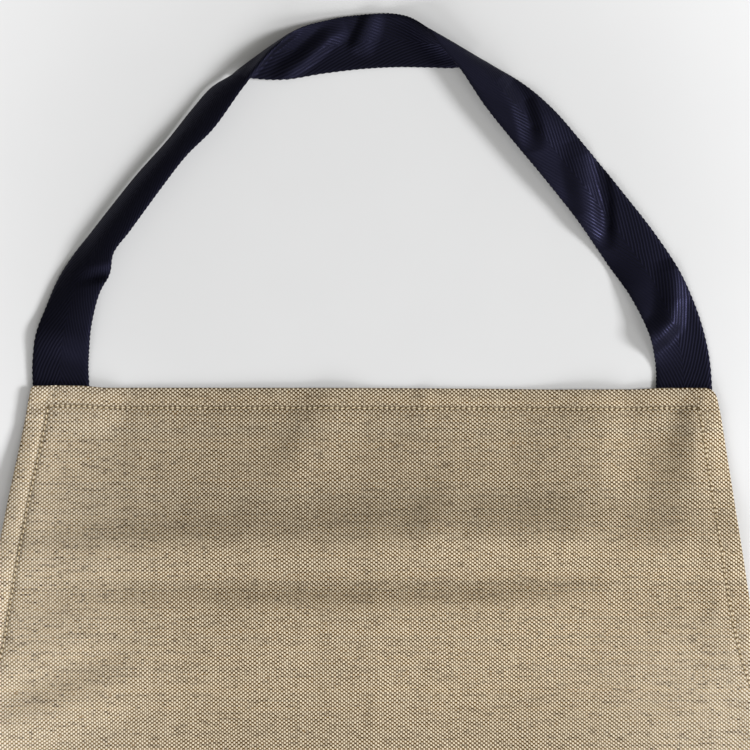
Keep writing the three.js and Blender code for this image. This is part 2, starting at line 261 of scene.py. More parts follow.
patch_noise = noise(weave_group, weave_in["Cut place"], 1 / PATCH_SIZE, 3.0)
patchy = calc(weave_group, "MULTIPLY_ADD", patch_noise, 0.55, 0.225)
lean = calc(weave_group, "MULTIPLY_ADD", cut_xyz.outputs[0], LEAN_ACROSS, patchy)
rising = calc(weave_group, "MULTIPLY", diagonal_wave("SUBTRACT"),
              calc(weave_group, "MULTIPLY_ADD", lean, 0.5, 0.22))
falling = calc(weave_group, "MULTIPLY", diagonal_wave("ADD"),
               calc(weave_group, "MULTIPLY_ADD", lean, -0.5, 0.80))
crown = calc(weave_group, "SUBTRACT", rising, falling)
warp_number = calc(weave_group, "FLOOR", warp_count)
weft_number = calc(weave_group, "FLOOR", weft_count)
crossing = put(weave_group, "ShaderNodeCombineXYZ", {"X": warp_number, "Y": weft_number}).outputs[0]
crossing_noise = put(weave_group, "ShaderNodeTexWhiteNoise", {"Vector": crossing}, noise_dimensions="2D")
crossing_chance = crossing_noise.outputs[0]
firmness = noise(weave_group, weave_in["Cut place"], 1 / FIRM_SIZE, 3.0)
crown_gain = calc(weave_group, "ADD", calc(weave_group, "MULTIPLY_ADD", firmness, 1.7, 0.2),
                  calc(weave_group, "MULTIPLY", crossing_chance, 1.3))
firm_crown = calc(weave_group, "MULTIPLY", crown, crown_gain)
yarn_gap = calc(weave_group, "COSINE", calc(weave_group, "MULTIPLY", warp_count, 2 * math.pi))
firm_crown = calc(weave_group, "MULTIPLY_ADD", yarn_gap, -0.5, firm_crown)
warp_up = soft_mask(weave_group, firm_crown, -1.0, 1.0)
print("nodes in the weave so far:", len(weave_group.nodes))

# %% Uneven yarns, slubs and relief
SLUB_APART = 5.3

warp_yarn = use_group(weave_group, yarn_group, {"Yarn number": warp_number, "Along": cut_xyz.outputs[1]})
weft_yarn = use_group(weave_group, yarn_group, {"Yarn number": weft_number, "Along": cut_xyz.outputs[0]})


def slub_rows(length, seed, low, high):
    """Dark lengths of single cross yarns, about one length long."""
    place = put(weave_group, "ShaderNodeCombineXYZ", {
        "X": calc(weave_group, "DIVIDE", cut_xyz.outputs[0], length),
        "Y": calc(weave_group, "MULTIPLY", weft_number, SLUB_APART),
        "Z": seed,
    })
    return soft_mask(weave_group, noise(weave_group, place.outputs[0], 1.0, 1.0), low, high)


short_slubs = slub_rows(4.5 * MM, 0.0, 0.61, 0.68)
long_slubs = calc(weave_group, "MULTIPLY", slub_rows(13 * MM, 40.0, 0.55, 0.70), 0.65)
slub = calc(weave_group, "MAXIMUM", short_slubs, long_slubs)
relief = calc(weave_group, "MULTIPLY_ADD", calc(weave_group, "ABSOLUTE", crown), 0.5,
              calc(weave_group, "MULTIPLY", crown, 0.25))
feed(weave_group, weave_out, {
    "Warp up": warp_up,
    "Warp shade": warp_yarn["Shade"],
    "Weft shade": weft_yarn["Shade"],
    "Slub": slub,
    "Height": relief,
})
print("group:", weave_group.name, "with", weave_outputs)

# %% [markdown]
# A sewn seam pulls the cloth into a furrow, and the needle leaves a hole at the end of every stitch. Both
# are painted as shade: painted shade along the furrow and a painted dark spot in each hole. All four hems
# need the same marks, so they are a node group. It takes the distance from the seam and the way along it.

# %% Seam marks as a node group
STITCH_PITCH = 2.45 * MM
SEAM_SIDE = 9.2 * MM
SEAM_TOP = 8.8 * MM
SEAM_BOTTOM = 14 * MM
APRON_LENGTH = 850 * MM
HOLE_FADES = (0.8 * MM, 0.35 * MM)
FURROW_FADES = (1.6 * MM, 0.3 * MM)

marks_group, marks_in, marks_out = new_group(
    "seam_marks",
    {"Across": "Float", "Along": "Float"},
    {"Hole": "Float", "Furrow": "Float"},
)
stitch_count = calc(marks_group, "DIVIDE", marks_in["Along"], STITCH_PITCH)
off_hole = calc(marks_group, "SUBTRACT", stitch_count, calc(marks_group, "ROUND", stitch_count))
off_hole = calc(marks_group, "MULTIPLY", off_hole, STITCH_PITCH)
off_place = put(marks_group, "ShaderNodeCombineXYZ", {"X": off_hole, "Y": marks_in["Across"]})
off_length = put(marks_group, "ShaderNodeVectorMath", {0: off_place.outputs[0]}, operation="LENGTH")
hole = soft_mask(marks_group, off_length.outputs["Value"], *HOLE_FADES)
furrow = soft_mask(marks_group, calc(marks_group, "ABSOLUTE", marks_in["Across"]), *FURROW_FADES)
feed(marks_group, marks_out, {"Hole": hole, "Furrow": furrow})
print("group:", marks_group.name)

# %% [markdown]
# The linen finish places the weave by the cut's own flat map, so that the yarns follow the cloth over
# every fold. Cream warp and brown weft are mixed by the crowns and shaded yarn by yarn. A slub darkens
# the weft alone, so it shows as a row of dark dots between pale crowns. Towards the sides the cloth is
# painted a little paler, which is painted light, and the upper middle of the bib is painted a shade
# darker, which is painted shade.

# %% Yarn colours of the linen
WARP_CREAM = (0.775, 0.674, 0.508, 1)
WARP_PAINTED_LIGHT = (0.81, 0.725, 0.60, 1)
WEFT_FLAX = (0.090, 0.042, 0.003, 1)
WEFT_PAINTED_LIGHT = (0.25, 0.175, 0.085, 1)
SLUB_BROWN = (0.050, 0.022, 0.001, 1)
FLECK_BROWN = (0.22, 0.12, 0.035, 1)
HOLE_PAINTED_SHADE = (0.085, 0.050, 0.014, 1)

# Where each tone starts and where it is full, in the cut's own x or y
PAINTED_LIGHT_LEFT = (-60 * MM, -190 * MM)
PAINTED_LIGHT_RIGHT = (60 * MM, 190 * MM)
PAINTED_LIGHT_DEPTH = (-85 * MM, -135 * MM)
PAINTED_SHADE_LEFT = (-190 * MM, -60 * MM)
PAINTED_SHADE_RIGHT = (60 * MM, -10 * MM)
PAINTED_SHADE_DEPTH = (-95 * MM, -55 * MM)
PAINTED_SHADE_DARKER = 0.10
WARP_UNEVEN = 0.10
WEFT_UNEVEN = 0.55
SLUB_DARKER = 0.9
SLUB_THINS = 0.3

linen, linen_tree, linen_shader = new_material("linen_cloth")
cut_map = put(linen_tree, "ShaderNodeUVMap", uv_map="flat_cut").outputs[0]
weave = use_group(linen_tree, weave_group, {"Cut place": cut_map})
cut_place = put(linen_tree, "ShaderNodeSeparateXYZ", {0: cut_map})
cut_x, cut_y = cut_place.outputs[0], cut_place.outputs[1]


def grey_level(tree, level):
    return put(tree, "ShaderNodeCombineColor", {0: level, 1: level, 2: level}).outputs[0]


def toned(colour, level):
    """A colour scaled lighter or darker by a grey level."""
    return mix_colour(linen_tree, 1.0, colour, grey_level(linen_tree, level), "MULTIPLY")


def shaded_yarn(colour, shade, depth):
    """A yarn colour made lighter or darker by its own shade."""
    level = calc(linen_tree, "MULTIPLY_ADD", shade, 2 * depth, 1 - depth)
    return toned(colour, level)


# Painted light: the cloth is painted paler towards the sides.
painted_light_left = soft_mask(linen_tree, cut_x, *PAINTED_LIGHT_LEFT)
painted_light_right = calc(linen_tree, "MULTIPLY", soft_mask(linen_tree, cut_x, *PAINTED_LIGHT_RIGHT),
                  soft_mask(linen_tree, cut_y, *PAINTED_LIGHT_DEPTH))
painted_light_sides = calc(linen_tree, "MAXIMUM", painted_light_left, painted_light_right)
# Painted shade: the upper middle of the bib is painted a shade darker.
from_left = soft_mask(linen_tree, cut_x, *PAINTED_SHADE_LEFT)
from_right = soft_mask(linen_tree, cut_x, *PAINTED_SHADE_RIGHT)
near_top = soft_mask(linen_tree, cut_y, *PAINTED_SHADE_DEPTH)
near_middle = calc(linen_tree, "MULTIPLY", from_left, from_right)
painted_shade_top = calc(linen_tree, "MULTIPLY", near_top, near_middle)
weft_colour = mix_colour(linen_tree, painted_light_sides, WEFT_FLAX, WEFT_PAINTED_LIGHT)
warp_colour = mix_colour(linen_tree, painted_light_sides, WARP_CREAM, WARP_PAINTED_LIGHT)
warp_tone = shaded_yarn(warp_colour, weave["Warp shade"], WARP_UNEVEN)
weft_tone = shaded_yarn(weft_colour, weave["Weft shade"], WEFT_UNEVEN)
slub_share = calc(linen_tree, "MULTIPLY", weave["Slub"], SLUB_DARKER)
weft_tone = mix_colour(linen_tree, slub_share, weft_tone, SLUB_BROWN)
thin_crowns = calc(linen_tree, "MULTIPLY_ADD", weave["Slub"], -SLUB_THINS, 1.0)
crowns = calc(linen_tree, "MULTIPLY", weave["Warp up"], thin_crowns)
cloth_tone = mix_colour(linen_tree, crowns, weft_tone, warp_tone)
painted_shade_level = calc(linen_tree, "MULTIPLY_ADD", painted_shade_top, -PAINTED_SHADE_DARKER, 1.0)
cloth_tone = toned(cloth_tone, painted_shade_level)
print("yarn colours of", linen.name)

# %% [markdown]
# Over the yarns come small marks: a few brown flecks of bark left in the flax, a fine fibre noise,
# and the seam marks along the four hems, which are painted shade. In the side hems the cloth is double,
# and it is painted a little paler there, which is painted light on the raised hem.
# Linen is dry and matte, with a faint warm fuzz that the sheen stands for.

# %% Linen finish
FIBRE_SIZE = 0.35 * MM
FLECK_SIZE = 3.2 * MM
FLECK_SHARE = 0.45
DOUBLE_PAINTED_LIGHT = 0.06
DOUBLE_BLUR = 0.8 * MM
SEAM_STARTS = 1.0 * MM
FURROW_PAINTED_SHADE = 0.12
HOLE_PAINTED_SHARE = 0.75

fibre = noise(linen_tree, cut_map, 1 / FIBRE_SIZE, 2.0)
fibre_level = calc(linen_tree, "MULTIPLY_ADD", fibre, 0.5, 0.75)
cloth_tone = toned(cloth_tone, fibre_level)
fleck = soft_mask(linen_tree, noise(linen_tree, cut_map, 1 / FLECK_SIZE, 1.0), 0.70, 0.80)
fleck_share = calc(linen_tree, "MULTIPLY", fleck, FLECK_SHARE)
cloth_tone = mix_colour(linen_tree, fleck_share, cloth_tone, FLECK_BROWN)

hem_map = put(linen_tree, "ShaderNodeSeparateXYZ", {
    0: put(linen_tree, "ShaderNodeUVMap", uv_map="hem_run").outputs[0],
})
hem_inset, hem_along = hem_map.outputs[0], hem_map.outputs[1]
# Painted light: the double side hems are painted a little paler.
double = soft_mask(linen_tree, hem_inset, SEAM_SIDE + DOUBLE_BLUR, SEAM_SIDE - DOUBLE_BLUR)
double_painted_light_level = calc(linen_tree, "MULTIPLY_ADD", double, DOUBLE_PAINTED_LIGHT, 1.0)
cloth_tone = toned(cloth_tone, double_painted_light_level)
down = calc(linen_tree, "MULTIPLY", cut_y, -1.0)
past_side = soft_mask(linen_tree, hem_inset, SEAM_SIDE - SEAM_STARTS, SEAM_SIDE)
past_top = soft_mask(linen_tree, down, SEAM_TOP - SEAM_STARTS, SEAM_TOP)
seam_lines = [
    (calc(linen_tree, "SUBTRACT", down, SEAM_TOP), cut_x, past_side),
    (calc(linen_tree, "SUBTRACT", down, APRON_LENGTH - SEAM_BOTTOM), cut_x, past_side),
    (calc(linen_tree, "SUBTRACT", hem_inset, SEAM_SIDE), hem_along, past_top),
]
# Painted shade: the seam furrow is painted darker and each needle hole gets a painted dark spot.
for off_line, along_line, limit in seam_lines:
    marks = use_group(linen_tree, marks_group, {"Across": off_line, "Along": along_line})
    painted_furrow_share = calc(linen_tree, "MULTIPLY", marks["Furrow"], limit)
    shade = calc(linen_tree, "MULTIPLY_ADD", painted_furrow_share, -FURROW_PAINTED_SHADE, 1.0)
    cloth_tone = toned(cloth_tone, shade)
    hole_mask = calc(linen_tree, "MULTIPLY", marks["Hole"], limit)
    painted_hole_share = calc(linen_tree, "MULTIPLY", hole_mask, HOLE_PAINTED_SHARE)
    cloth_tone = mix_colour(linen_tree, painted_hole_share, cloth_tone, HOLE_PAINTED_SHADE)

linen_bump = {"Height": weave["Height"], "Strength": 0.6, "Distance": 0.3 * MM}
feed(linen_tree, linen_shader.inputs, {
    "Base Color": cloth_tone,
    "Normal": put(linen_tree, "ShaderNodeBump", linen_bump).outputs[0],
    "Roughness": 0.92,
    "Specular IOR Level": 0.05,
    "Sheen Weight": 0.04,
    "Sheen Roughness": 0.6,
    "Sheen Tint": (1.0, 0.8, 0.55, 1),
})
print("finish:", linen.name)

# %% [markdown]
# The tape is a herringbone twill: its ridges climb at a steep slant from both selvedges and meet along
# the middle, so that the points of the herringbone look along the tape. The distance from the middle
# plus a share of the distance along gives one wave that makes both halves at once.

# %% Herringbone twill as a node group
RIDGE_PITCH = 1.5 * MM
RIDGE_CLIMB = 0.433
WOBBLE_SIZE = 6 * MM
WOBBLE = 0.35
FLOAT_SIZE = 0.5 * MM

twill_group, twill_in, twill_out = new_group(
    "herringbone_twill",
    {"Tape place": "Vector"},
    {"Ridge": "Float", "Yarn shade": "Float", "Height": "Float"},
)
tape_xyz = put(twill_group, "ShaderNodeSeparateXYZ", {0: twill_in["Tape place"]})
from_middle = calc(twill_group, "ABSOLUTE", tape_xyz.outputs[1])
slanted = calc(twill_group, "MULTIPLY_ADD", tape_xyz.outputs[0], RIDGE_CLIMB, from_middle)
wobble = noise(twill_group, twill_in["Tape place"], 1 / WOBBLE_SIZE)
ridge_count = calc(twill_group, "ADD", calc(twill_group, "DIVIDE", slanted, RIDGE_PITCH),
                   calc(twill_group, "MULTIPLY", wobble, WOBBLE))
ridge_wave = calc(twill_group, "COSINE", calc(twill_group, "MULTIPLY", ridge_count, 2 * math.pi))
ridge = calc(twill_group, "MULTIPLY_ADD", ridge_wave, 0.5, 0.5)
floats = noise(twill_group, twill_in["Tape place"], 1 / FLOAT_SIZE, 1.0)
thin_ridge = calc(twill_group, "POWER", ridge, 1.8)
float_level = calc(twill_group, "MULTIPLY_ADD", floats, 0.9, 0.55)
ridge_number = calc(twill_group, "FLOOR", ridge_count)
ridge_place = {"Yarn number": ridge_number, "Along": tape_xyz.outputs[0]}
ridge_yarn = use_group(twill_group, yarn_group, ridge_place)
feed(twill_group, twill_out, {
    "Ridge": calc(twill_group, "MULTIPLY", thin_ridge, float_level),
    "Yarn shade": ridge_yarn["Shade"],
    "Height": calc(twill_group, "POWER", ridge, 0.7),
})
print("group:", twill_group.name)

# %% [markdown]
# The tape finish is nearly black throughout, and the furrows are painted darker than the ridges, which is
# painted shade between the ridges. What reads as navy is the light that the smooth floats throw back at a
# low angle, so the ridges get a bump and are smoother than the furrows, and it is the reflection that is
# tinted blue. A blue base colour would look blue in the shade too.

# %% Tape finish
RIDGE_NAVY = (0.0056, 0.0058, 0.0074, 1)
FURROW_PAINTED_SHADE_NAVY = (0.0018, 0.0018, 0.0022, 1)
GLANCE_BLUE = (0.43, 0.43, 0.96, 1)
FURROW_DULL = 0.70
RIDGE_SMOOTHER = 0.34

tape_finish, tape_tree, tape_shader = new_material("navy_herringbone_tape")
tape_map = put(tape_tree, "ShaderNodeUVMap", uv_map="tape_run").outputs[0]
twill = use_group(tape_tree, twill_group, {"Tape place": tape_map})
yarn_level = calc(tape_tree, "MULTIPLY_ADD", twill["Yarn shade"], 0.8, 0.6)
# Painted shade: the furrows between the twill ridges get the darker colour.
ridge_share = calc(tape_tree, "MULTIPLY", twill["Ridge"], yarn_level)
tape_tone = mix_colour(tape_tree, ridge_share, FURROW_PAINTED_SHADE_NAVY, RIDGE_NAVY)
tape_bump = {"Height": twill["Height"], "Strength": 0.3, "Distance": 0.35 * MM}
feed(tape_tree, tape_shader.inputs, {
    "Base Color": tape_tone,
    "Normal": put(tape_tree, "ShaderNodeBump", tape_bump).outputs[0],
    "Roughness": calc(tape_tree, "MULTIPLY_ADD", ridge_share, -RIDGE_SMOOTHER, FURROW_DULL),
    "Specular IOR Level": 0.38,
    "Specular Tint": GLANCE_BLUE,
})
print("finish:", tape_finish.name)

# %% [markdown]
# The hems are sewn with a twisted thread of two plies, nearly as pale as the warp. The plies show as
# slanted lines along each stitch, painted darker in the groove between them, which is painted shade.

# %% Thread finish
THREAD_LIGHT = (0.84, 0.72, 0.52, 1)
THREAD_GROOVE_SHADE = (0.56, 0.44, 0.27, 1)
PLY_PITCH = 0.55 * MM

thread, thread_tree, thread_shader = new_material("hem_thread")
thread_map = put(thread_tree, "ShaderNodeUVMap", uv_map="thread_run").outputs[0]
thread_xyz = put(thread_tree, "ShaderNodeSeparateXYZ", {0: thread_map})
plies_along = calc(thread_tree, "DIVIDE", thread_xyz.outputs[0], PLY_PITCH)
ply_phase = calc(thread_tree, "ADD", plies_along, thread_xyz.outputs[1])
ply_wave = calc(thread_tree, "SINE", calc(thread_tree, "MULTIPLY", ply_phase, 2 * math.pi))
ply = calc(thread_tree, "MULTIPLY_ADD", ply_wave, 0.5, 0.5)
thread_bump = {"Height": ply, "Strength": 0.5, "Distance": 0.08 * MM}
# Painted shade in the groove between the two plies.
feed(thread_tree, thread_shader.inputs, {
    "Base Color": mix_colour(thread_tree, ply, THREAD_GROOVE_SHADE, THREAD_LIGHT),
    "Normal": put(thread_tree, "ShaderNodeBump", thread_bump).outputs[0],
    "Roughness": 0.7,
})
print("finish:", thread.name)

# %% [markdown]
# All the cloth here is made the same way, as two grids of points, a face and an underside, closed
# round the rim into one thin solid. Building the grids with arrays is quick, and it lets one formula
# decide the height of every point, where a subdivided plane would need sculpting by hand.

# %% Thin solids from two grids
def smooth(t):
    t = np.clip(t, 0, 1)
    return t * t * (3 - 2 * t)


def soft_noise(x, y, size, seed):
    """Smooth random heights from -1 to 1 that change over about one size."""
    lattice = np.random.default_rng(seed).uniform(-1, 1, (128, 128))
    column, row = np.floor(x / size).astype(int), np.floor(y / size).astype(int)
    share_x, share_y = smooth(x / size - column), smooth(y / size - row)
    left, right = column % 128, (column + 1) % 128
    low, high = row % 128, (row + 1) % 128
    below = lattice[left, low] * (1 - share_x) + lattice[right, low] * share_x
    above = lattice[left, high] * (1 - share_x) + lattice[right, high] * share_x
    return below * (1 - share_y) + above * share_y


def grid_quads(rows, columns, start, flip):
    corner = (np.arange(rows - 1)[:, None] * columns + np.arange(columns - 1)).ravel() + start
    quads = np.stack([corner, corner + columns, corner + columns + 1, corner + 1], axis=1)
    return quads[:, ::-1] if flip else quads


def rim_quads(rows, columns):
    """The strip that joins the rim of the face to the rim of the underside."""
    face = np.arange(rows * columns).reshape(rows, columns)
    ring = np.concatenate([face[0, :-1], face[:-1, -1], face[-1, :0:-1], face[:0:-1, 0]])
    following = np.roll(ring, -1)
    under = rows * columns
    return np.stack([ring, following, following + under, ring + under], axis=1)


def new_piece(name, points, faces, finish, maps):
    """A smooth-shaded mesh object with its flat maps, given for each point."""
    mesh = bpy.data.meshes.new(name)
    mesh.from_pydata(points.tolist(), [], faces.tolist())
    corners = np.zeros(len(mesh.loops), int)
    mesh.loops.foreach_get("vertex_index", corners)
    for label, flat in maps.items():
        mesh.uv_layers.new(name=label).data.foreach_set("uv", flat[corners].astype(np.float32).ravel())
    mesh.shade_smooth()
    mesh.materials.append(finish)
    mesh.validate()
    piece = bpy.data.objects.new(name, mesh)
    bpy.context.collection.objects.link(piece)
    return piece


def thin_solid(name, face, under, finish, maps):
    """A closed solid from two grids; the maps give a flat place for each point of a grid."""
    rows, columns = face.shape[:2]
    points = np.concatenate([face.reshape(-1, 3), under.reshape(-1, 3)])
    faces = np.concatenate([
        grid_quads(rows, columns, 0, False),
        grid_quads(rows, columns, rows * columns, True),
        rim_quads(rows, columns),
    ])
    both_sides = {label: np.concatenate([flat.reshape(-1, 2)] * 2) for label, flat in maps.items()}
    piece = new_piece(name, points, faces, finish, both_sides)
    print(name, "points:", len(points), "quads:", len(faces))
    return piece


# %% [markdown]
# The panel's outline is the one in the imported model: a bib with straight, slightly flared sides, an
# armhole curve on each side, and a skirt that widens a little towards its hem. A table adds how the
# edges really lie, a millimetre or two off the pattern. Widths are worked out for any depth below
# the top edge, so the same function serves the cloth, its folded edge and its seams.

# %% Outline of the panel
BIB_TOP_HALF = 152.4 * MM
BIB_FLARE = 0.18
BIB_STRAIGHT = 105 * MM
WAIST_HALF = 335 * MM
WAIST_DOWN = 290 * MM
SKIRT_HALF = 345 * MM
ARMHOLE_LEAVES = 80 * MM
ARMHOLE_ARRIVES = np.array([74, -48]) * MM

bib_foot = np.array([BIB_TOP_HALF + BIB_FLARE * BIB_STRAIGHT, -BIB_STRAIGHT])
waist_corner = np.array([WAIST_HALF, -WAIST_DOWN])
armhole_pull = [
    bib_foot,
    bib_foot + ARMHOLE_LEAVES * np.array([BIB_FLARE, -1]),
    waist_corner - ARMHOLE_ARRIVES,
    waist_corner,
]
share = np.linspace(0, 1, 400)[:, None]
pull_weights = [math.comb(3, k) * share ** k * (1 - share) ** (3 - k) for k in range(4)]
armhole = sum(weight * point for weight, point in zip(pull_weights, armhole_pull))
outline_depth = np.concatenate([[0], -armhole[:, 1], [APRON_LENGTH]])
outline_half = np.concatenate([[BIB_TOP_HALF], armhole[:, 0], [SKIRT_HALF]])

# How the edges lie off the pattern: depth, then outwards on the left and on the right
EDGE_LIE = np.array([
    [0, 0.0, 0.2],
    [12, 0.0, 0.6],
    [30, 0.6, 0.2],
    [48, 1.2, -0.2],
    [70, 1.4, -0.9],
    [97, 1.2, -1.5],
    [130, 0.4, -1.0],
    [180, 0.0, 0.0],
    [850, 0.0, 0.0],
]) * MM
CORNER_ROUND = {-1: 1.6 * MM, 1: 4.2 * MM}
# How the top edge lies off the pattern: x, then upwards
TOP_LIE = np.array([
    [-156, 1.1],
    [-140, 1.4],
    [-128, 1.2],
    [-120, 0.3],
    [0, 0.2],
    [45, -0.1],
    [80, -0.5],
    [118, -0.4],
    [128, 0.2],
    [150, 0.2],
]) * MM
TOP_LIE_FADES = 30 * MM


def half_width(depth, side):
    """Half width of the panel at a depth below the top edge, on the left (-1) or right (1) side."""
    plain = np.interp(depth, outline_depth, outline_half)
    lie = np.interp(depth, EDGE_LIE[:, 0], EDGE_LIE[:, 1 if side < 0 else 2])
    radius = CORNER_ROUND[side]
    into_corner = np.clip(radius - depth, 0, radius)
    return plain + lie - (radius - np.sqrt(radius ** 2 - into_corner ** 2))


def laid_y(x, depth):
    """How far up the picture a point of the cut lies, once the top edge has been laid."""
    return np.interp(x, TOP_LIE[:, 0], TOP_LIE[:, 1]) * smooth(1 - depth / TOP_LIE_FADES) - depth


print("half width at the top, at the waist and at the hem:",
      [round(float(half_width(d, 1)), 3) for d in (0.02, WAIST_DOWN, APRON_LENGTH)])

# %% [markdown]
# A cloth that lies on a table keeps long soft folds from where it was stored. Each fold is a row in a
# table: where its ridge runs, how high it is, and how far it reaches on each side, so that a steep side
# and a gentle side can differ. Folds that meet add up, as swells on water do. Where the tape's ends are
# sewn under the hem, the cloth rises over them.

# %% Height of the cloth over the table
CLOTH_THICK = 0.6 * MM
TAPE_THICK = 1.0 * MM
TAPE_WIDTH = 25 * MM
TOUCH_GAP = 0.3 * MM
TIE_TUCK = 15 * MM
TUCK_MARGIN = 2.2 * MM
TUCK_SETTLE = 15 * MM

# Each fold: its ridge as points of x, y and height, and how far it reaches on its left and right side
FOLDS = [
    ("broad swell", 74, 140, [(-185, -80, 6.0), (0, -80, 10.2), (70, -80, 7.8), (185, -82, 5.6)]),
    ("upper ridge", 22, 17, [
        (-130, -70, 0), (-60, -68, 2.9), (-10, -67.5, 4.0), (57, -66, 7.2),
        (90, -67, 7.9), (124, -71, 5.6), (152, -71, 3.8), (185, -72, 1.5),
    ]),
    ("left wedge", 13, 17, [
        (-172, -78, 0.6), (-144, -74, 2.0), (-110, -69, 2.6), (-60, -68, 1.8), (-20, -67.5, 0),
    ]),
    ("lower ridge", 13, 45, [
        (-160, -98, 0), (-110, -98, 2.6), (-60, -98, 4.4), (-10, -98.5, 5.4),
        (60, -97, 5.2), (90, -95, 2.8), (120, -94, 0),
    ]),
    ("left slant", 18, 18, [(-200, -164, 3.6), (-166, -151.5, 3.8), (-120, -135, 2.8), (-95, -126, 0)]),
    ("left swell", 36, 16, [(-200, -142, 2.0), (-166, -126.6, 2.4), (-126, -107, 1.6), (-105, -98, 0)]),
    ("right rise", 20, 18, [
        (146, 0, 2.2), (146, -14, 5.4), (143, -36, 4.4), (138, -60, 2.0), (136, -78, 0),
    ]),
    ("right swell", 20, 42, [(101, 0, 2.0), (100, -20, 4.0), (98, -50, 3.0), (96, -72, 0)]),
    ("hem slant", 20, 14, [(-18, 0, 1.0), (-22, -10, 1.6), (-36, -33, 1.6), (-44, -46, 0)]),
    ("middle swell", 34, 90, [(-24, 0, 1.0), (-26, -25, 2.6), (-28, -55, 0)]),
    ("left step", 50, 14, [(-100, 0, 0.4), (-101, -20, 1.0), (-102, -50, 0.8), (-103, -62, 0)]),
    ("left edge", 50, 30, [
        (-160, 0, 0.8), (-165, -20, 0.9), (-171, -50, 1.1),
        (-180, -95, 1.7), (-193, -150, 1.7), (-208, -190, 0),
    ]),
    ("left curl", 13, 8, [
        (-151, -4, 0.8), (-153, -20, 1.5), (-159, -50, 1.1), (-168, -95, 0.7), (-180, -140, 0),
    ]),
    ("wrinkle", 16, 13, [(36, -38, 0), (33.6, -43, 1.0), (23.3, -65, 1.4), (19, -72, 0)]),
    ("hem wrinkle", 5, 8, [(23.5, 0, 0.5), (23, -8, 1.0), (22, -17, 0)]),
    ("skirt left", 55, 70, [(-160, -330, 0), (-148, -420, 5), (-120, -860, 5)]),
    ("skirt middle", 70, 60, [(55, -280, 0), (60, -360, 4), (95, -860, 4)]),
    ("skirt right", 60, 45, [(230, -400, 0), (235, -470, 4), (250, -860, 4)]),
]
# Where the tape's ends lie under the panel: left, right, low, high, and their height at left and right
TUCKS = np.array([
    [-151.6, -126.4, -10, 0, 1.6, 1.4],
    [126.4, 151.4, -10, 0, 1.2, 1.2],
    [-335, -320, -315, -290, 0.5, 0.5],
    [320, 335, -315, -290, 0.5, 0.5],
]) * MM


def added_folds(x, y, folds):
    """Height of a table of folds, in metres, at places in metres."""
    lift = np.zeros_like(x)
    for name, left, right, ridge in folds:
        lift += one_fold(x, y, left * MM, right * MM, np.array(ridge) * MM)
    return lift


def one_fold(x, y, left, right, ridge):
    """Height of one fold: each point is measured from the nearest stretch of the ridge."""
    nearest = np.full(x.shape, np.inf)
    height = np.zeros_like(x)
    for (from_x, from_y, from_high), (to_x, to_y, to_high) in zip(ridge, ridge[1:]):
        length = math.hypot(to_x - from_x, to_y - from_y)
        run_x, run_y = (to_x - from_x) / length, (to_y - from_y) / length
        along = np.clip((x - from_x) * run_x + (y - from_y) * run_y, 0, length)
        off_x, off_y = x - from_x - along * run_x, y - from_y - along * run_y
        away = np.hypot(off_x, off_y)
        reach = np.where(off_y * run_x - off_x * run_y > 0, left, right)
        here = (from_high + (to_high - from_high) * along / length) * smooth(1 - away / reach)
        height = np.where(away < nearest, here, height)
        nearest = np.minimum(nearest, away)
    return height


def tuck_height(x, y):
    lift = np.zeros_like(x)
    for left, right, low, high, left_z, right_z in TUCKS:
        beside = np.maximum(np.maximum(left - x, x - right), 0)
        beyond = np.maximum(np.maximum(low - y, y - high), 0)
        clear = np.maximum(0, np.hypot(beside, beyond) - TUCK_MARGIN)
        tape_z = left_z + (right_z - left_z) * np.clip((x - left) / (right - left), 0, 1)
        lift = np.maximum(lift, (tape_z + TAPE_THICK / 2 + TOUCH_GAP) * (1 - smooth(clear / TUCK_SETTLE)))
    return lift


RIPPLE_LIFT = 0.6 * MM
BROAD_RIPPLE, BROAD_SIZE = 0.50 * MM, 24 * MM
FINE_RIPPLE, FINE_SIZE = 0.14 * MM, 10 * MM


def ripple(x, y):
    """Small unevenness of the laid cloth, never below the table."""
    broad = BROAD_RIPPLE * soft_noise(x, y, BROAD_SIZE, seed=3)
    fine = FINE_RIPPLE * soft_noise(x, y, FINE_SIZE, seed=4)
    return np.maximum(RIPPLE_LIFT + broad + fine, 0)


print("folds:", [name for name, left, right, ridge in FOLDS])

# %% [markdown]
# In the hem the cloth is double, and the seam pulls it down into a shallow furrow with little puckers
# beside it. The edge itself is a fold, so it is rounded. One function gives the underside and the
# face for any point, and the stitches use it again later to find the surface they lie on.

# %% Face and underside
HEM_SIDE = 10.5 * MM
HEM_TOP = 10 * MM
HEM_BOTTOM = 16 * MM
HEM_SLOPE = 13 * MM
SEAM_PULL = 0.8 * MM
SEAM_REACH = 2.0 * MM
PUCKER = 0.45 * MM
PUCKER_REACH = 11 * MM
PUCKER_LENGTH = 8 * MM
EDGE_BLUNT = 0.25
EDGE_SETTLED = 0.3
SETTLE_REACH = 26 * MM


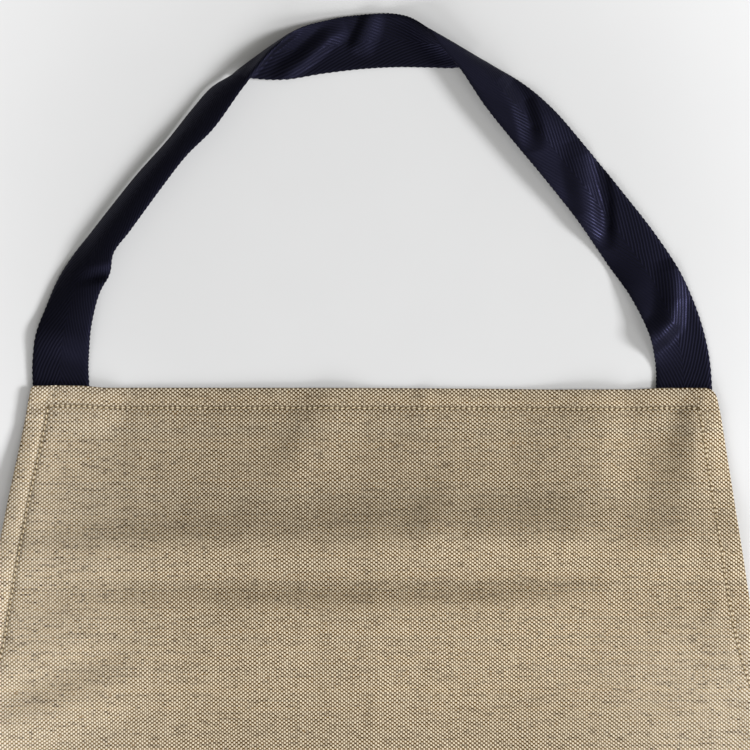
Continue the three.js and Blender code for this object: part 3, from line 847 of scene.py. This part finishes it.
def cloth_surfaces(x, depth, inset):
    """Heights of the underside and of the face, at a depth below the top edge and inset from the side."""
    y = laid_y(x, depth)
    to_hem = APRON_LENGTH - depth
    from_edge = np.minimum.reduce([inset, depth, to_hem])
    settled = EDGE_SETTLED + (1 - EDGE_SETTLED) * smooth(from_edge / SETTLE_REACH)
    low = np.maximum(added_folds(x, y, FOLDS), tuck_height(x, y)) + ripple(x, y) * settled
    off_seam = np.minimum.reduce([np.abs(inset - SEAM_SIDE), np.abs(depth - SEAM_TOP),
                                  np.abs(to_hem - SEAM_BOTTOM)])
    waves = soft_noise(x, y, PUCKER_LENGTH, seed=8)
    low = low + PUCKER * (0.5 + 0.5 * waves) * smooth(1 - off_seam / PUCKER_REACH)
    deep = np.minimum.reduce([inset - HEM_SIDE, depth - HEM_TOP, to_hem - HEM_BOTTOM])
    rise = np.where(deep < 0, 0, CLOTH_THICK * (1 - smooth(deep / HEM_SLOPE)))
    thick = np.where(deep < 0, 2, 1) * CLOTH_THICK
    pull = SEAM_PULL * np.exp(-(off_seam / SEAM_REACH) ** 2)
    under = low + rise + pull
    face = low + rise + thick - pull
    roundness = np.sqrt(1 - np.clip(1 - from_edge / CLOTH_THICK, 0, 1) ** 2)
    roundness = np.maximum(roundness, EDGE_BLUNT)
    middle, half = (face + under) / 2, (face - under) / 2
    return middle - half * roundness, middle + half * roundness


print("hem is", 2 * CLOTH_THICK, "m thick")

# %% [markdown]
# The panel's grid is fine in the bib, where the eye rests, and wider in the skirt. Its columns follow
# the side edges, closely beside the hem and evenly between, so that hems stay sharp along the
# curve of the armholes.

# %% The linen panel
EDGE_INSETS = np.array([
    0, 0.3, 0.8, 1.6, 3.2, 5.2, 7.0, 8.2, 9.2, 10.2, 10.6, 12, 14.5, 17.5, 21, 25, 30, 36,
]) * MM
INNER_COLUMNS = 54
TOP_DEPTHS = np.array([0, 0.3, 0.8, 1.6, 3.2, 5.2, 7.0, 8.0, 8.8, 9.6, 10.2, 12, 14.2]) * MM
BOTTOM_RISES = np.array([17, 16.2, 15.6, 14, 12, 8, 4, 1.6, 0.8, 0.3, 0]) * MM
BIB_ROW = 2.2 * MM
SKIRT_ROW = 5.4 * MM
BIB_FINE_TO = 175 * MM
SKIRT_ROWS_STOP = 20 * MM

row_depths = np.concatenate([
    TOP_DEPTHS,
    np.arange(TOP_DEPTHS[-1] + BIB_ROW, BIB_FINE_TO, BIB_ROW),
    np.arange(BIB_FINE_TO, APRON_LENGTH - SKIRT_ROWS_STOP, SKIRT_ROW),
    APRON_LENGTH - BOTTOM_RISES,
])
depth = row_depths[:, None]
edge_step = np.gradient(np.interp(row_depths, outline_depth, outline_half), row_depths)
slant = np.minimum(np.hypot(1, edge_step), 3.0)[:, None]


def side_columns(side):
    """x and inset of one side's columns, from the edge to the middle."""
    edge = half_width(depth, side)
    near_x = edge - EDGE_INSETS * slant
    inward = np.linspace(1, 0, INNER_COLUMNS + 1)[1:]
    far_x = near_x[:, -1:] * inward
    insets = np.concatenate([EDGE_INSETS, EDGE_INSETS[-1] + near_x[0, -1] * (1 - inward)])
    x = side * np.concatenate([near_x, far_x], axis=1)
    return x, np.broadcast_to(insets, x.shape)


left_x, left_inset = side_columns(-1)
right_x, right_inset = side_columns(1)
panel_x = np.concatenate([left_x, right_x[:, -2::-1]], axis=1)
panel_inset = np.concatenate([left_inset, right_inset[:, -2::-1]], axis=1)
panel_depth = np.broadcast_to(depth, panel_x.shape)
panel_y = laid_y(panel_x, panel_depth)
panel_under, panel_face = cloth_surfaces(panel_x, panel_depth, panel_inset)


def side_run(side):
    """Way along one side seam at every row, from the seam's first row."""
    line = np.stack([half_width(row_depths, side) - SEAM_SIDE * slant[:, 0], row_depths], axis=1)
    run = np.concatenate([[0], np.cumsum(np.hypot(*np.diff(line, axis=0).T))])
    return run - run[np.argmax(row_depths > SEAM_TOP)]


panel_run = np.where(panel_x < 0, side_run(-1)[:, None], side_run(1)[:, None])
panel_maps = {
    "flat_cut": np.stack([panel_x, -panel_depth], axis=2),
    "hem_run": np.stack([panel_inset, panel_run], axis=2),
}


def laid(x, y, z):
    """Points drawn from the bib's top edge, put in their place on the table."""
    return np.stack([x, y + TOP_EDGE, z], axis=-1)


panel = thin_solid("linen_panel", laid(panel_x, panel_y, panel_face), laid(panel_x, panel_y, panel_under),
                   linen, panel_maps)

# %% [markdown]
# Each hem is closed by a row of lockstitches about two and a half millimetres long. At this size a
# stitch is a short thread that dives into the cloth at both ends, so each is a small bent capsule, and
# thousands of them are made at once with arrays and joined in one mesh. The face and the underside
# each get their own row.

# %% Seam lines
def spaced(line, pitch, start=0.0):
    """Points at an even pitch along a line of x and depth."""
    steps = np.hypot(*np.diff(line, axis=0).T)
    run = np.concatenate([[0], np.cumsum(steps)])
    at = np.arange(start, run[-1], pitch)
    return np.stack([np.interp(at, run, line[:, 0]), np.interp(at, run, line[:, 1])], axis=1)


def side_seam(side):
    edge = half_width(row_depths, side) - SEAM_SIDE * slant[:, 0]
    inside = (row_depths > SEAM_TOP) & (row_depths < APRON_LENGTH - SEAM_BOTTOM)
    return spaced(np.stack([side * edge, row_depths], axis=1)[inside], STITCH_PITCH)


def cross_seam(seam_depth):
    """A seam from side to side, with its stitches counted from the middle line as the seam marks are."""
    left, right = (half_width(seam_depth, side) - SEAM_SIDE for side in (-1, 1))
    line = np.array([[-left, seam_depth], [right, seam_depth]])
    return spaced(line, STITCH_PITCH, start=left % STITCH_PITCH)


seams = {
    "top": cross_seam(SEAM_TOP),
    "bottom": cross_seam(APRON_LENGTH - SEAM_BOTTOM),
    "left": side_seam(-1),
    "right": side_seam(1),
}
print("stitches along each seam:", {name: len(line) - 1 for name, line in seams.items()})

# %% Stitches
THREAD_RADIUS = 0.34 * MM
STITCH_GAP = 0.42
STITCH_SLANT = 0.22 * MM
STITCH_UNEVEN = 0.16 * MM
STITCH_ARCH = 0.22 * MM
STITCH_SINK = 0.10 * MM
STITCH_END = 0.55
STITCH_RINGS = 7
STITCH_SIDES = 6


def stitch_points(line, upward):
    """Rings of points for every stitch of a seam, on the face (1) or on the underside (-1)."""
    start, end = line[:-1], line[1:]
    along = np.linspace(STITCH_GAP / 2, 1 - STITCH_GAP / 2, STITCH_RINGS)
    middle = start[:, None] + (end - start)[:, None] * along[:, None]
    surfaces = cloth_surfaces(middle[..., 0], middle[..., 1], np.full(middle.shape[:2], SEAM_SIDE))
    bow = np.sin(np.pi * (along - along[0]) / (along[-1] - along[0]))
    height = surfaces[1 if upward > 0 else 0] + upward * (STITCH_ARCH * bow - STITCH_SINK)
    middle[..., 1] = laid_y(middle[..., 0], middle[..., 1])
    heading = middle[:, -1] - middle[:, 0]
    heading = heading / np.linalg.norm(heading, axis=1, keepdims=True)
    across = np.stack([-heading[:, 1], heading[:, 0]], axis=1)
    uneven = np.random.default_rng(len(line)).uniform(-1, 1, (len(start), 2)) * STITCH_UNEVEN
    lean = STITCH_SLANT * (2 * along - 1) + uneven[:, :1] + uneven[:, 1:] * (2 * along - 1)
    middle = middle + across[:, None] * lean[..., None]
    radius = THREAD_RADIUS * (STITCH_END + (1 - STITCH_END) * bow)
    turn = np.linspace(0, 2 * np.pi, STITCH_SIDES, endpoint=False)
    sideways = radius[:, None] * np.cos(turn)
    rings = np.zeros((len(start), STITCH_RINGS, STITCH_SIDES, 3))
    rings[..., :2] = middle[:, :, None] + across[:, None, None] * sideways[..., None]
    rings[..., 2] = height[..., None] + radius[:, None] * np.sin(turn)
    rings[..., 1] += TOP_EDGE
    flat = np.stack(np.meshgrid(along * STITCH_PITCH, turn / (2 * np.pi), indexing="ij"), axis=-1)
    return rings, np.broadcast_to(flat, (len(start), *flat.shape))


def ring_faces(count):
    """Quads round each stitch, and the two quads that close each of its ends."""
    ring = np.arange(STITCH_SIDES)
    quads = [np.stack([k * STITCH_SIDES + ring, k * STITCH_SIDES + np.roll(ring, -1),
                       (k + 1) * STITCH_SIDES + np.roll(ring, -1), (k + 1) * STITCH_SIDES + ring], axis=1)
             for k in range(STITCH_RINGS - 1)]
    last = (STITCH_RINGS - 1) * STITCH_SIDES
    caps = np.array([[3, 2, 1, 0], [5, 4, 3, 0],
                     [last, last + 1, last + 2, last + 3], [last, last + 3, last + 4, last + 5]])
    one = np.concatenate([*quads, caps])
    return (np.arange(count)[:, None, None] * STITCH_RINGS * STITCH_SIDES + one).reshape(-1, 4)


def sew(name, upward):
    rows = [stitch_points(line, upward) for line in seams.values()]
    rings = np.concatenate([rings for rings, flat in rows])
    flats = np.concatenate([flat for rings, flat in rows])
    faces = ring_faces(len(rings))
    piece = new_piece(name, rings.reshape(-1, 3), faces, thread, {"thread_run": flats.reshape(-1, 2)})
    print(name, "stitches:", len(rings), "quads:", len(faces))
    return piece


face_stitches = sew("hem_stitches_face", 1)
under_stitches = sew("hem_stitches_underside", -1)

# %% [markdown]
# A tape is stiff along its width and bends along its length, so its shape is fully told by where its
# two selvedges lie and how far it bows between them. The table gives all three, section by section,
# from the left end round to the right end: the legs lean inwards on their outer selvedge, and the
# tape turns over at both sides of the top. Smooth curves run through each row of points, as in the
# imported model.

# %% Sections of the neck strap
# Outer selvedge x, y, z, inner selvedge x, y, z and how far the tape bows out between them, in
# millimetres, drawn from the bib's top edge
STRAP_SECTIONS = np.array([
    [-151.6, -10, 1.6, -126.4, -10, 1.4, 0],
    [-151.6, 0, 1.5, -126.4, 0, 1.3, 0],
    [-151.9, 10, 1.8, -126.8, 9, 1.9, 0],
    [-150.3, 24, 2.6, -126.4, 17, 3.4, 0.8],
    [-145.8, 36, 2.4, -125.3, 28, 6.0, 1.6],
    [-140.4, 48.5, 1.7, -121.6, 42.3, 8.5, 2],
    [-133.5, 59.5, 1.2, -117, 51.2, 9.6, 2.2],
    [-126.8, 68, 1, -115.2, 60.4, 10.2, 2.4],
    [-118.8, 78.3, 1, -108.2, 69.8, 10.2, 2.6],
    [-104.8, 95.8, 1, -95.2, 87.6, 10.2, 2.6],
    [-91.4, 110.8, 1, -83, 103.4, 10.4, 2.6],
    [-80.6, 124.4, 1.2, -70.9, 115.6, 10.6, 2.2],
    [-71.6, 134.4, 1.6, -57.8, 133.8, 10.2, 1.6],
    [-64.8, 138, 2.2, -46.4, 147.8, 8.8, 0.8],
    [-61.5, 140.2, 2.8, -36.3, 158.3, 5.8, 0.5],
    [-55, 138.5, 2.4, -29.3, 161.8, 4.4, 0.8],
    [-40, 137.7, 1.8, -21, 164, 3.2, 0.8],
    [-22, 140.5, 1.4, -13.5, 165.7, 2.4, 1.0],
    [-4, 142.6, 1.2, -4, 166.7, 2.0, 1.0],
    [12, 143.4, 1.2, 8, 167.3, 2.2, 1.0],
    [25, 143.2, 1.3, 15.5, 165.8, 4.2, 1.0],
    [37.6, 143.1, 1.8, 20.8, 162.9, 7.4, 0.8],
    [43.6, 145.2, 2.4, 23.2, 161, 9.4, 0.5],
    [46.4, 147, 2.8, 25, 159.6, 10.2, 0.5],
    [50.4, 145.5, 2.2, 30.6, 152.3, 9.8, 0.8],
    [56.8, 142, 1.8, 39.5, 141.5, 9, 1.2],
    [67, 136, 1.6, 49.5, 126.5, 8.4, 1.2],
    [80.5, 124.5, 1.5, 61, 112, 8, 1],
    [96, 106.6, 1.5, 76.5, 93.5, 7.6, -0.8],
    [111.5, 87.6, 1.5, 91.5, 74.5, 5.0, -0.6],
    [126.2, 68.7, 1.3, 105, 55, 1.4, 0.6],
    [137.2, 51.8, 1.1, 115.2, 40.4, 4.4, -0.4],
    [145.4, 33, 0.9, 123.2, 23.8, 6.2, -1.2],
    [150, 15, 1.0, 126.2, 10, 1.4, 0],
    [151.4, 0, 1.2, 126.4, 0, 1.2, 0],
    [151.4, -10, 1.2, 126.4, -10, 1.2, 0],
]) * MM
print("strap sections:", len(STRAP_SECTIONS))

# %% Smooth selvedges
STEPS_BETWEEN = 24


def eased_curve(points, steps):
    """A smooth curve through points: knots spaced by the root of their distance, so it never loops."""
    before = 2 * points[0] - points[1]
    after = 2 * points[-1] - points[-2]
    knots = np.concatenate([[before], points, [after]])
    t = np.linspace(0, 1, steps, endpoint=False)[:, None]
    pieces = []
    for p0, p1, p2, p3 in zip(knots, knots[1:], knots[2:], knots[3:]):
        gaps = (p1 - p0, p2 - p1, p3 - p2)
        d0, d1, d2 = (max(math.sqrt(np.linalg.norm(gap)), 1e-6) for gap in gaps)
        leave = ((p1 - p0) / d0 - (p2 - p0) / (d0 + d1) + (p2 - p1) / d1) * d1
        arrive = ((p2 - p1) / d1 - (p3 - p1) / (d1 + d2) + (p3 - p2) / d2) * d1
        pieces.append(p1 + leave * t + (3 * (p2 - p1) - 2 * leave - arrive) * t ** 2
                      + (2 * (p1 - p2) + leave + arrive) * t ** 3)
    return np.concatenate([*pieces, points[-1:]])


def even_selvedges(sections, step):
    """Both selvedges and the bow, at an even step of the tape's middle, and the run along the middle."""
    outer, inner = (eased_curve(sections[:, k:k + 3], STEPS_BETWEEN) for k in (0, 3))
    bow = eased_curve(sections[:, 6:], STEPS_BETWEEN)[:, 0]
    middle = (outer + inner) / 2
    run = np.concatenate([[0], np.cumsum(np.linalg.norm(np.diff(middle, axis=0), axis=1))])
    at = np.linspace(0, run[-1], int(run[-1] / step) + 1)
    even_outer, even_inner = (
        np.stack([np.interp(at, run, edge[:, k]) for k in range(3)], axis=1) for edge in (outer, inner)
    )
    return even_outer, even_inner, np.interp(at, run, bow), at


print("curve helpers ready")

# %% [markdown]
# The selvedges of a woven tape are gently scalloped where the weft turns back, and a little thinner
# than the middle. The flat map along the tape has to follow the cloth, not the curve: where the tape
# bends sideways, the cross yarns lean, and the map leans with them.

# %% A tape from its sections
TAPE_STEP = 0.5 * MM
SELVEDGE_COLUMNS = np.array([10.9, 11.7, 12.25, 12.5])
MIDDLE_COLUMNS = np.linspace(-10, 10, 19)
TAPE_COLUMNS = np.concatenate([-SELVEDGE_COLUMNS[::-1], MIDDLE_COLUMNS, SELVEDGE_COLUMNS]) * MM
SCALLOP_PITCH = 2.3 * MM
SCALLOP_DEPTH = 0.14 * MM
SELVEDGE_FROM = 11 * MM
SELVEDGE_THIN = 0.5


def tape_piece(name, sections, step, creases=()):
    outer, inner, bow, run = even_selvedges(sections, step)
    run, bow = run[:, None], bow[:, None]
    across = np.broadcast_to(TAPE_COLUMNS, (len(run), len(TAPE_COLUMNS)))
    into_selvedge = smooth((np.abs(across) - SELVEDGE_FROM) / (TAPE_COLUMNS[-1] - SELVEDGE_FROM))
    scallop = SCALLOP_DEPTH * np.cos(2 * np.pi * (run / SCALLOP_PITCH + 0.25 * np.sign(across)))
    spread = across + np.sign(across) * scallop * into_selvedge
    share = (spread / TAPE_WIDTH + 0.5)[..., None]
    middle = outer[:, None] * (1 - share) + inner[:, None] * share
    middle[..., 2] = np.maximum(middle[..., 2], TAPE_THICK / 2)
    heading = np.gradient((outer + inner) / 2, axis=0)
    heading /= np.linalg.norm(heading, axis=1, keepdims=True)
    lag = np.sum((inner - outer) * heading, axis=1)[:, None]
    flat = np.stack([run + lag * across / TAPE_WIDTH, across], axis=2)
    standing = bow * (1 - (2 * share[..., 0] - 1) ** 2)
    middle = middle - grid_normals(middle) * standing[..., None]
    middle[..., 2] += added_folds(middle[..., 0], middle[..., 1], creases)
    middle[..., 2] = np.maximum(middle[..., 2], TAPE_THICK / 2)
    half = TAPE_THICK / 2 * (1 - SELVEDGE_THIN * into_selvedge)
    lift = grid_normals(middle) * half[..., None]
    face, under = middle + lift, middle - lift
    for side in (face, under):
        side[..., 1] += TOP_EDGE
        side[..., 2] = np.maximum(side[..., 2], 0)
    piece = thin_solid(name, face, under, tape_finish, {"tape_run": flat})
    print(name, "is", round(float(run[-1, 0]), 3), "m long")
    return piece, float(run[-1, 0])


def grid_normals(points):
    normal = np.cross(np.gradient(points, axis=0), np.gradient(points, axis=1))
    return normal / np.linalg.norm(normal, axis=2, keepdims=True)


# %% [markdown]
# Tape that has been folded up in a packet keeps its creases. They are told like the folds of the cloth,
# with a ridge line and a reach on each side, and a valley is a ridge of negative height. The light
# catches one side of each and leaves the other nearly black.

# %% Neck strap
STRAP_CREASES = [
    ("top crest", 2.8, 2.0, [
        (-55.3, 138.6, 0.7), (-49.5, 145.7, 1.6), (-45.4, 150.7, 1.8),
        (-38.3, 156, 1.5), (-32.5, 159.6, 0),
    ]),
    ("top ridge", 7, 5, [(-40, 139, 1.0), (-37.4, 141.7, 1.8), (-31.2, 145.8, 2.3), (-24, 152, 2.5),
                         (-20, 155.6, 2.4), (-11.1, 160.5, 0)]),
    ("top swell", 5, 9, [(-8.5, 149, 0), (-7.1, 152.9, 1.6), (-3, 161.8, 1.9), (-2, 165, 1.6)]),
    ("upper trough", 6, 7, [(58, 140, 0), (62.1, 136.8, -1.4), (67.5, 128.3, -2.4), (70.6, 116.3, -2.4),
                            (72.4, 105.6, 0)]),
    ("leg swell", 10, 8, [
        (88, 110, 0), (90.4, 103, 0.8), (92.5, 90, 1.4), (94.5, 78, 1.4), (97, 66.3, 0),
    ]),
    ("leg valley", 4.5, 7, [(98.5, 109, 0), (100.5, 102, -1.2), (102.3, 93.1, -2.0), (103.7, 84.2, -2.4),
                            (104.5, 73, -2.4), (105, 61.8, 0)]),
    ("base ridge", 7, 10, [(132.5, 58, 0), (133.6, 52.9, 1.2), (134.5, 39.5, 2.6), (133.1, 29.7, 3.2),
                           (128.7, 24.3, 3.2), (124.6, 21.2, 2.0)]),
    ("left crease", 4, 6, [(-115, 51.4, -1.6), (-124, 49.8, -1.6), (-134, 47.3, 0)]),
    ("left base", 8, 12, [(-151, 27, 0.6), (-139, 24, 0.9), (-126, 20, 0.6)]),
]

neck_tape, neck_length = tape_piece("neck_tape", STRAP_SECTIONS, TAPE_STEP, STRAP_CREASES)

# %% [markdown]
# The waist ties come out from under the side hems at the waist, fold over once and lie down beside the
# skirt. They are sections of the same tape: flat runs, a half turn for the fold, and a slow drift with
# a few places where the tape lifts off the table.

# %% Waist ties
TIE_OUT = 45 * MM
TIE_LENGTH = 700 * MM
TIE_FOLD_RADIUS = 1.1 * MM
TIE_FOLD_STEPS = 4
TIE_BEFORE_FOLD = 8 * MM
TIE_STEP = 0.8 * MM
# Share of the way down, shift away from the skirt and lift off the table
TIE_DRIFT = [
    (0.08, 0, 2.1),
    (0.14, 0.5, 0.4),
    (0.3, 3, 0),
    (0.45, 5, 1.6),
    (0.6, 4, 0),
    (0.8, -1, 0),
    (0.9, -3, 1.2),
    (1, -5, 0),
]


def tie_sections(side):
    flat = TAPE_THICK / 2
    top, bottom = -WAIST_DOWN, -WAIST_DOWN - TAPE_WIDTH
    near = WAIST_HALF + TIE_OUT - TAPE_WIDTH
    far = near + TAPE_WIDTH
    rows = [[side * x, top, flat, side * x, bottom, flat, 0]
            for x in (WAIST_HALF - TIE_TUCK, WAIST_HALF, near - TIE_BEFORE_FOLD)]
    for turn in np.linspace(0, math.pi, TIE_FOLD_STEPS + 1):
        out = TIE_FOLD_RADIUS * math.sin(turn) * math.sqrt(0.5)
        z = flat + TIE_FOLD_RADIUS * (1 - math.cos(turn))
        rows.append([side * (near + out), top + out, z, side * (far + out), bottom + out, z, 0])
    down = TIE_LENGTH - TIE_OUT - TIE_TUCK
    for way, shift, lift in TIE_DRIFT:
        y, z = top - down * way, flat + lift * MM
        rows.append([side * (near + shift * MM), y, z, side * (far + shift * MM), y, z, 0])
    return np.array(rows)


left_tie, left_length = tape_piece("waist_tape_left", tie_sections(-1), TIE_STEP)
right_tie, right_length = tape_piece("waist_tape_right", tie_sections(1), TIE_STEP)

# %% [markdown]
# The table under the apron is a plain matt surface. Its colour is painted a touch darker in the middle
# of the loop and paler farther out, which is painted shade and painted light. It lies at height zero,
# where the undersides of the cloth touch it, and it reaches far enough to fill any view.

# %% Table
TABLE_REACH = 60
LOOP_MIDDLE = (0, TOP_EDGE + 60 * MM, 0)
DARKER_WITHIN = 90 * MM
PALER_BEYOND = 260 * MM
TABLE_SHADED_IN_LOOP = (0.705, 0.711, 0.724, 1)
TABLE_LIT_FARTHER = (0.90, 0.906, 0.925, 1)

table_finish, table_tree, table_shader = new_material("pale_table")
table_place = put(table_tree, "ShaderNodeTexCoord").outputs["Object"]
loop_ends = {0: table_place, 1: LOOP_MIDDLE}
from_loop = put(table_tree, "ShaderNodeVectorMath", loop_ends, operation="DISTANCE")
# Painted shade in the loop and painted light farther out, with a little of the table's own grain added.
painted_falloff = soft_mask(table_tree, from_loop.outputs["Value"], DARKER_WITHIN, PALER_BEYOND)
table_grain = noise(table_tree, table_place, 30.0, 3.0)
painted_falloff = calc(table_tree, "MULTIPLY_ADD", table_grain, 0.1, painted_falloff)
feed(table_tree, table_shader.inputs, {
    "Base Color": mix_colour(table_tree, painted_falloff, TABLE_SHADED_IN_LOOP, TABLE_LIT_FARTHER),
    "Roughness": 0.8,
    "Specular IOR Level": 0.1,
})

table_points = np.array([[-1, -1, 0], [1, -1, 0], [1, 1, 0], [-1, 1, 0]]) * TABLE_REACH
table = new_piece("table", table_points, np.array([[0, 1, 2, 3]]), table_finish, {})
print("table is", 2 * TABLE_REACH, "m wide")

# %% [markdown]
# Last, every piece is attached to the one body of the apron, so that everything moves together, and
# each soft piece takes the place of its own solid from the imported model, which is hidden.

stands_for = [
    (panel, "apron_panel", "linen"),
    (neck_tape, "neck_strap", "navy_tape"),
    (left_tie, "waist_tie_left", "navy_tape"),
    (right_tie, "waist_tie_right", "navy_tape"),
]
for piece, node, slot in stands_for:
    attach(piece, "root")
    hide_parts(node)
for piece in (face_stitches, under_stitches):
    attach(piece, "root")
